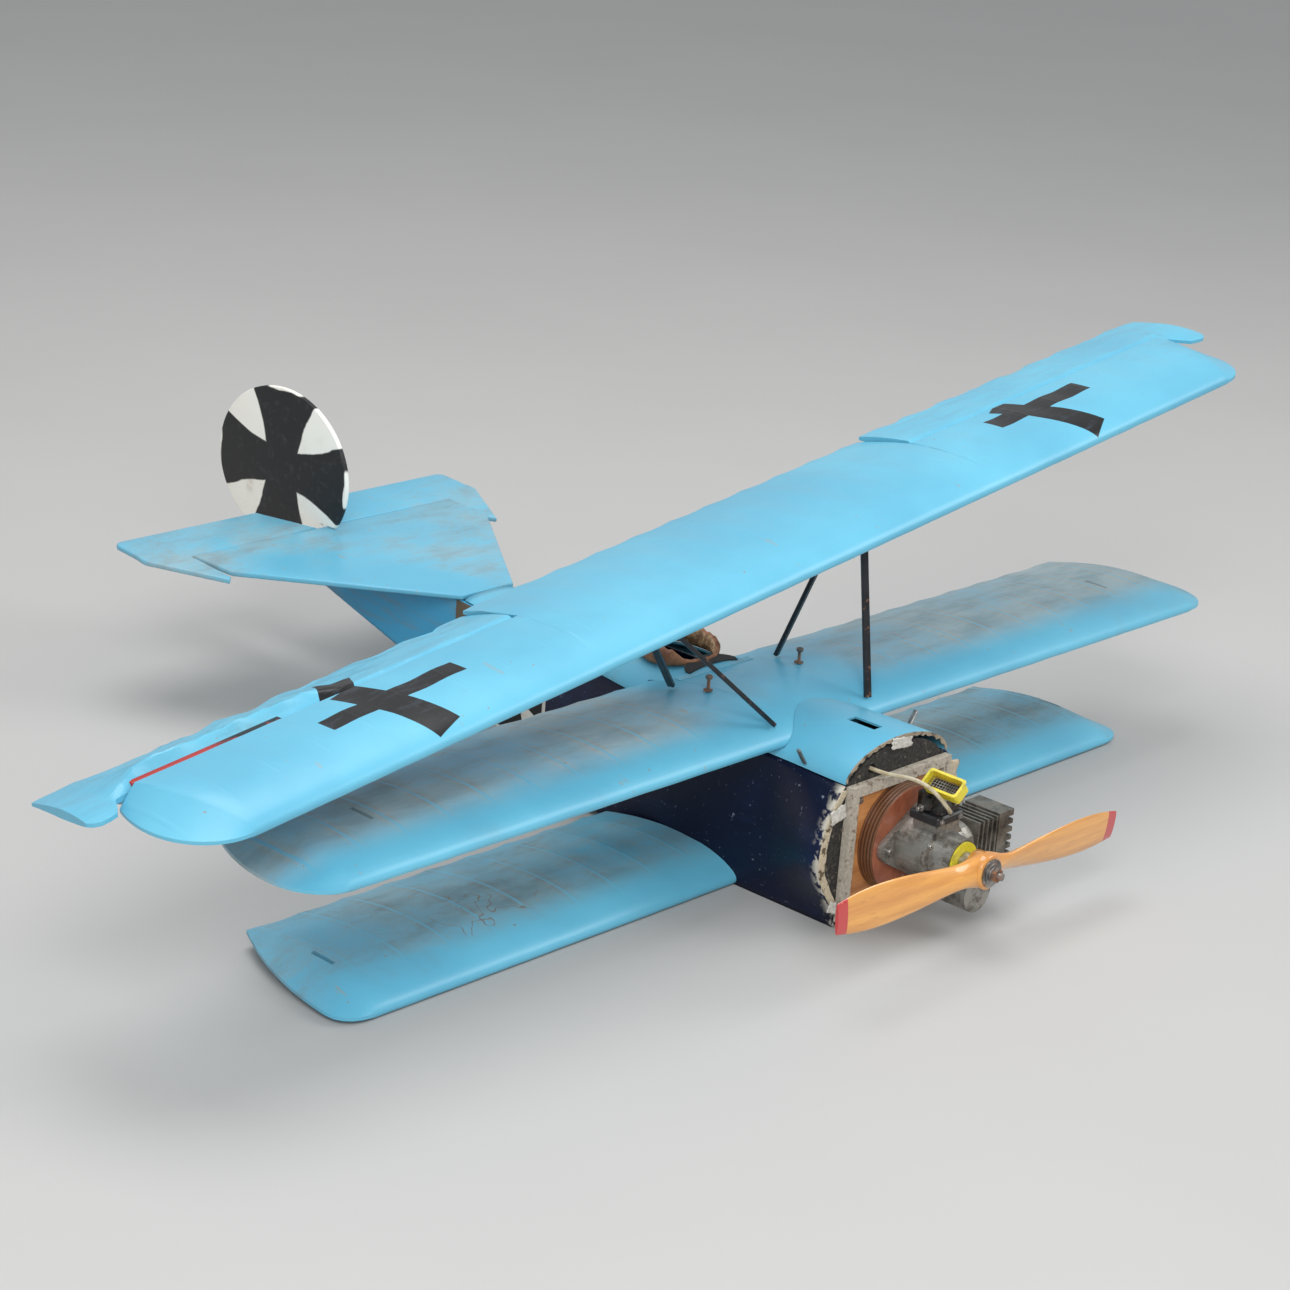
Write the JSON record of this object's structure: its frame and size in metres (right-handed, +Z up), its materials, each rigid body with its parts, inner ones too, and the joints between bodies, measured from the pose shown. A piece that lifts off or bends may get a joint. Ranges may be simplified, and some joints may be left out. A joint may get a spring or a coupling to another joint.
{
  "type": "radio controlled triplane model",
  "caption": "Large-scale petrol radio controlled triplane with a leaning top wing, bare firewall engine, wooden propeller, round rudder and working control surfaces.",
  "frame": {"origin": "middle of the flat belly face that the model rests on", "axes": "+Z up, the nose and propeller towards -Y, +X along the span towards the aircraft's left wing"},
  "size_m": [1.8531, 1.354, 0.5198],
  "materials": {
    "blue_film": "glossy light-blue covering film, dusty and scuffed",
    "navy_film": "glossy dark navy film",
    "white_paint": "white painted skin with a black cross",
    "ply": "light plywood",
    "dark_ply": "plywood blackened by oil and exhaust",
    "pale_frame": "pale painted wood strip",
    "brown_laminate": "brown laminated wood, oiled",
    "prop_wood": "varnished beech",
    "cast_metal": "cast aluminium, oily and dull",
    "steel": "steel with light rust",
    "black_plastic": "black moulded plastic",
    "yellow": "yellow moulded plastic",
    "black_paint": "black paint",
    "cork": "worn brown padding",
    "clear_tube": "yellowed translucent fuel tube",
    "white_plastic": "white plastic"
  },
  "bodies": {
    "airframe": {"side_panel_left": "navy_film", "side_panel_right": "navy_film", "belly_panel": "navy_film", "nose_deck": "blue_film", "cockpit_deck": "blue_film", "rear_deck": "blue_film", "front_former": "dark_ply", "cockpit_former": "ply", "tail_post": "ply", "cockpit_coaming": "cork", "firewall_plate": "ply", "firewall_frame": "pale_frame", "mount_ring": "brown_laminate", "fuel_tank": "white_plastic", "fuel_line": "clear_tube", "battery_pack": "black_plastic", "receiver": "black_plastic", "servo_tray": "ply", "elevator_servo": "black_plastic", "rudder_servo": "black_plastic", "throttle_servo": "black_plastic", "wing_joiner_tube": "cast_metal", "middle_wing": "blue_film", "lower_wing_left": "blue_film", "lower_wing_right": "blue_film", "top_wing": "blue_film", "cabane_strut_front_left": "black_paint", "cabane_strut_front_right": "black_paint", "cabane_strut_rear_left": "black_paint", "cabane_strut_rear_right": "black_paint", "wing_bolt_left": "steel", "wing_bolt_right": "steel", "cowl_hook_left": "steel", "cowl_hook_right": "steel", "tailplane": "blue_film", "rudder_post": "black_paint", "engine_backplate": "cast_metal", "crankcase": "cast_metal", "front_cover": "yellow", "cylinder_barrel": "cast_metal", "cylinder_head": "cast_metal", "spark_plug": "black_plastic", "carburettor_insulator": "black_plastic", "carburettor": "cast_metal", "intake_box": "yellow"},
    "propeller_shaft": {"propeller": "prop_wood", "crankshaft": "steel", "prop_washer": "steel", "prop_nut": "steel"},
    "throttle": {"throttle_lever": "steel"},
    "left_aileron": {"aileron_left": "blue_film"},
    "right_aileron": {"aileron_right": "blue_film"},
    "elevators": {"elevator_left": "blue_film", "elevator_right": "blue_film"},
    "rudder": {"rudder": "white_paint"},
    "elevator_arm": {"elevator_servo_arm": "white_plastic"},
    "rudder_arm": {"rudder_servo_arm": "white_plastic"},
    "throttle_arm": {"throttle_servo_arm": "white_plastic"}
  },
  "joints": [
    {"name": "propeller_spin", "type": "hinge", "parent": "airframe", "child": "propeller_shaft", "pos_m": [0, -0.29, 0.095], "axis": [0, -1, 0], "continuous": true},
    {"name": "throttle_turn", "type": "hinge", "parent": "airframe", "child": "throttle", "pos_m": [0.008, -0.2395, 0.156], "axis": [0, -1, 0], "range_deg": [-5, 40]},
    {"name": "throttle_servo_turn", "type": "hinge", "parent": "airframe", "child": "throttle_arm", "pos_m": [0.042, 0.178, 0.1], "axis": [0, 0, 1], "range_deg": [-5, 40]},
    {"name": "left_aileron_hinge", "type": "hinge", "parent": "airframe", "child": "left_aileron", "pos_m": [0.55641, 0.09535, 0.46623], "axis": [0.9921, 0.0123, 0.1245], "range_deg": [-22, 14]},
    {"name": "right_aileron_hinge", "type": "hinge", "parent": "airframe", "child": "right_aileron", "pos_m": [-0.63417, 0.0806, 0.31687], "axis": [0.9921, 0.0123, 0.1245], "range_deg": [-14, 22]},
    {"name": "elevator_hinge", "type": "hinge", "parent": "airframe", "child": "elevators", "pos_m": [0, 0.82, 0.195], "axis": [1, 0, 0], "range_deg": [-22, 14]},
    {"name": "rudder_hinge", "type": "hinge", "parent": "airframe", "child": "rudder", "pos_m": [0, 0.828, 0.258], "axis": [0, 0, 1], "range_deg": [-25, 25]},
    {"name": "elevator_servo_turn", "type": "hinge", "parent": "airframe", "child": "elevator_arm", "pos_m": [-0.042, 0.178, 0.1], "axis": [0, 0, 1], "range_deg": [-44, 28]},
    {"name": "rudder_servo_turn", "type": "hinge", "parent": "airframe", "child": "rudder_arm", "pos_m": [0, 0.178, 0.1], "axis": [0, 0, 1], "range_deg": [-25, 25]}
  ],
  "couplings": [
    {"joint": "right_aileron_hinge", "follows": "left_aileron_hinge", "ratio": -1},
    {"joint": "throttle_servo_turn", "follows": "throttle_turn", "ratio": 1},
    {"joint": "elevator_servo_turn", "follows": "elevator_hinge", "ratio": 2},
    {"joint": "rudder_servo_turn", "follows": "rudder_hinge", "ratio": 1}
  ]
}
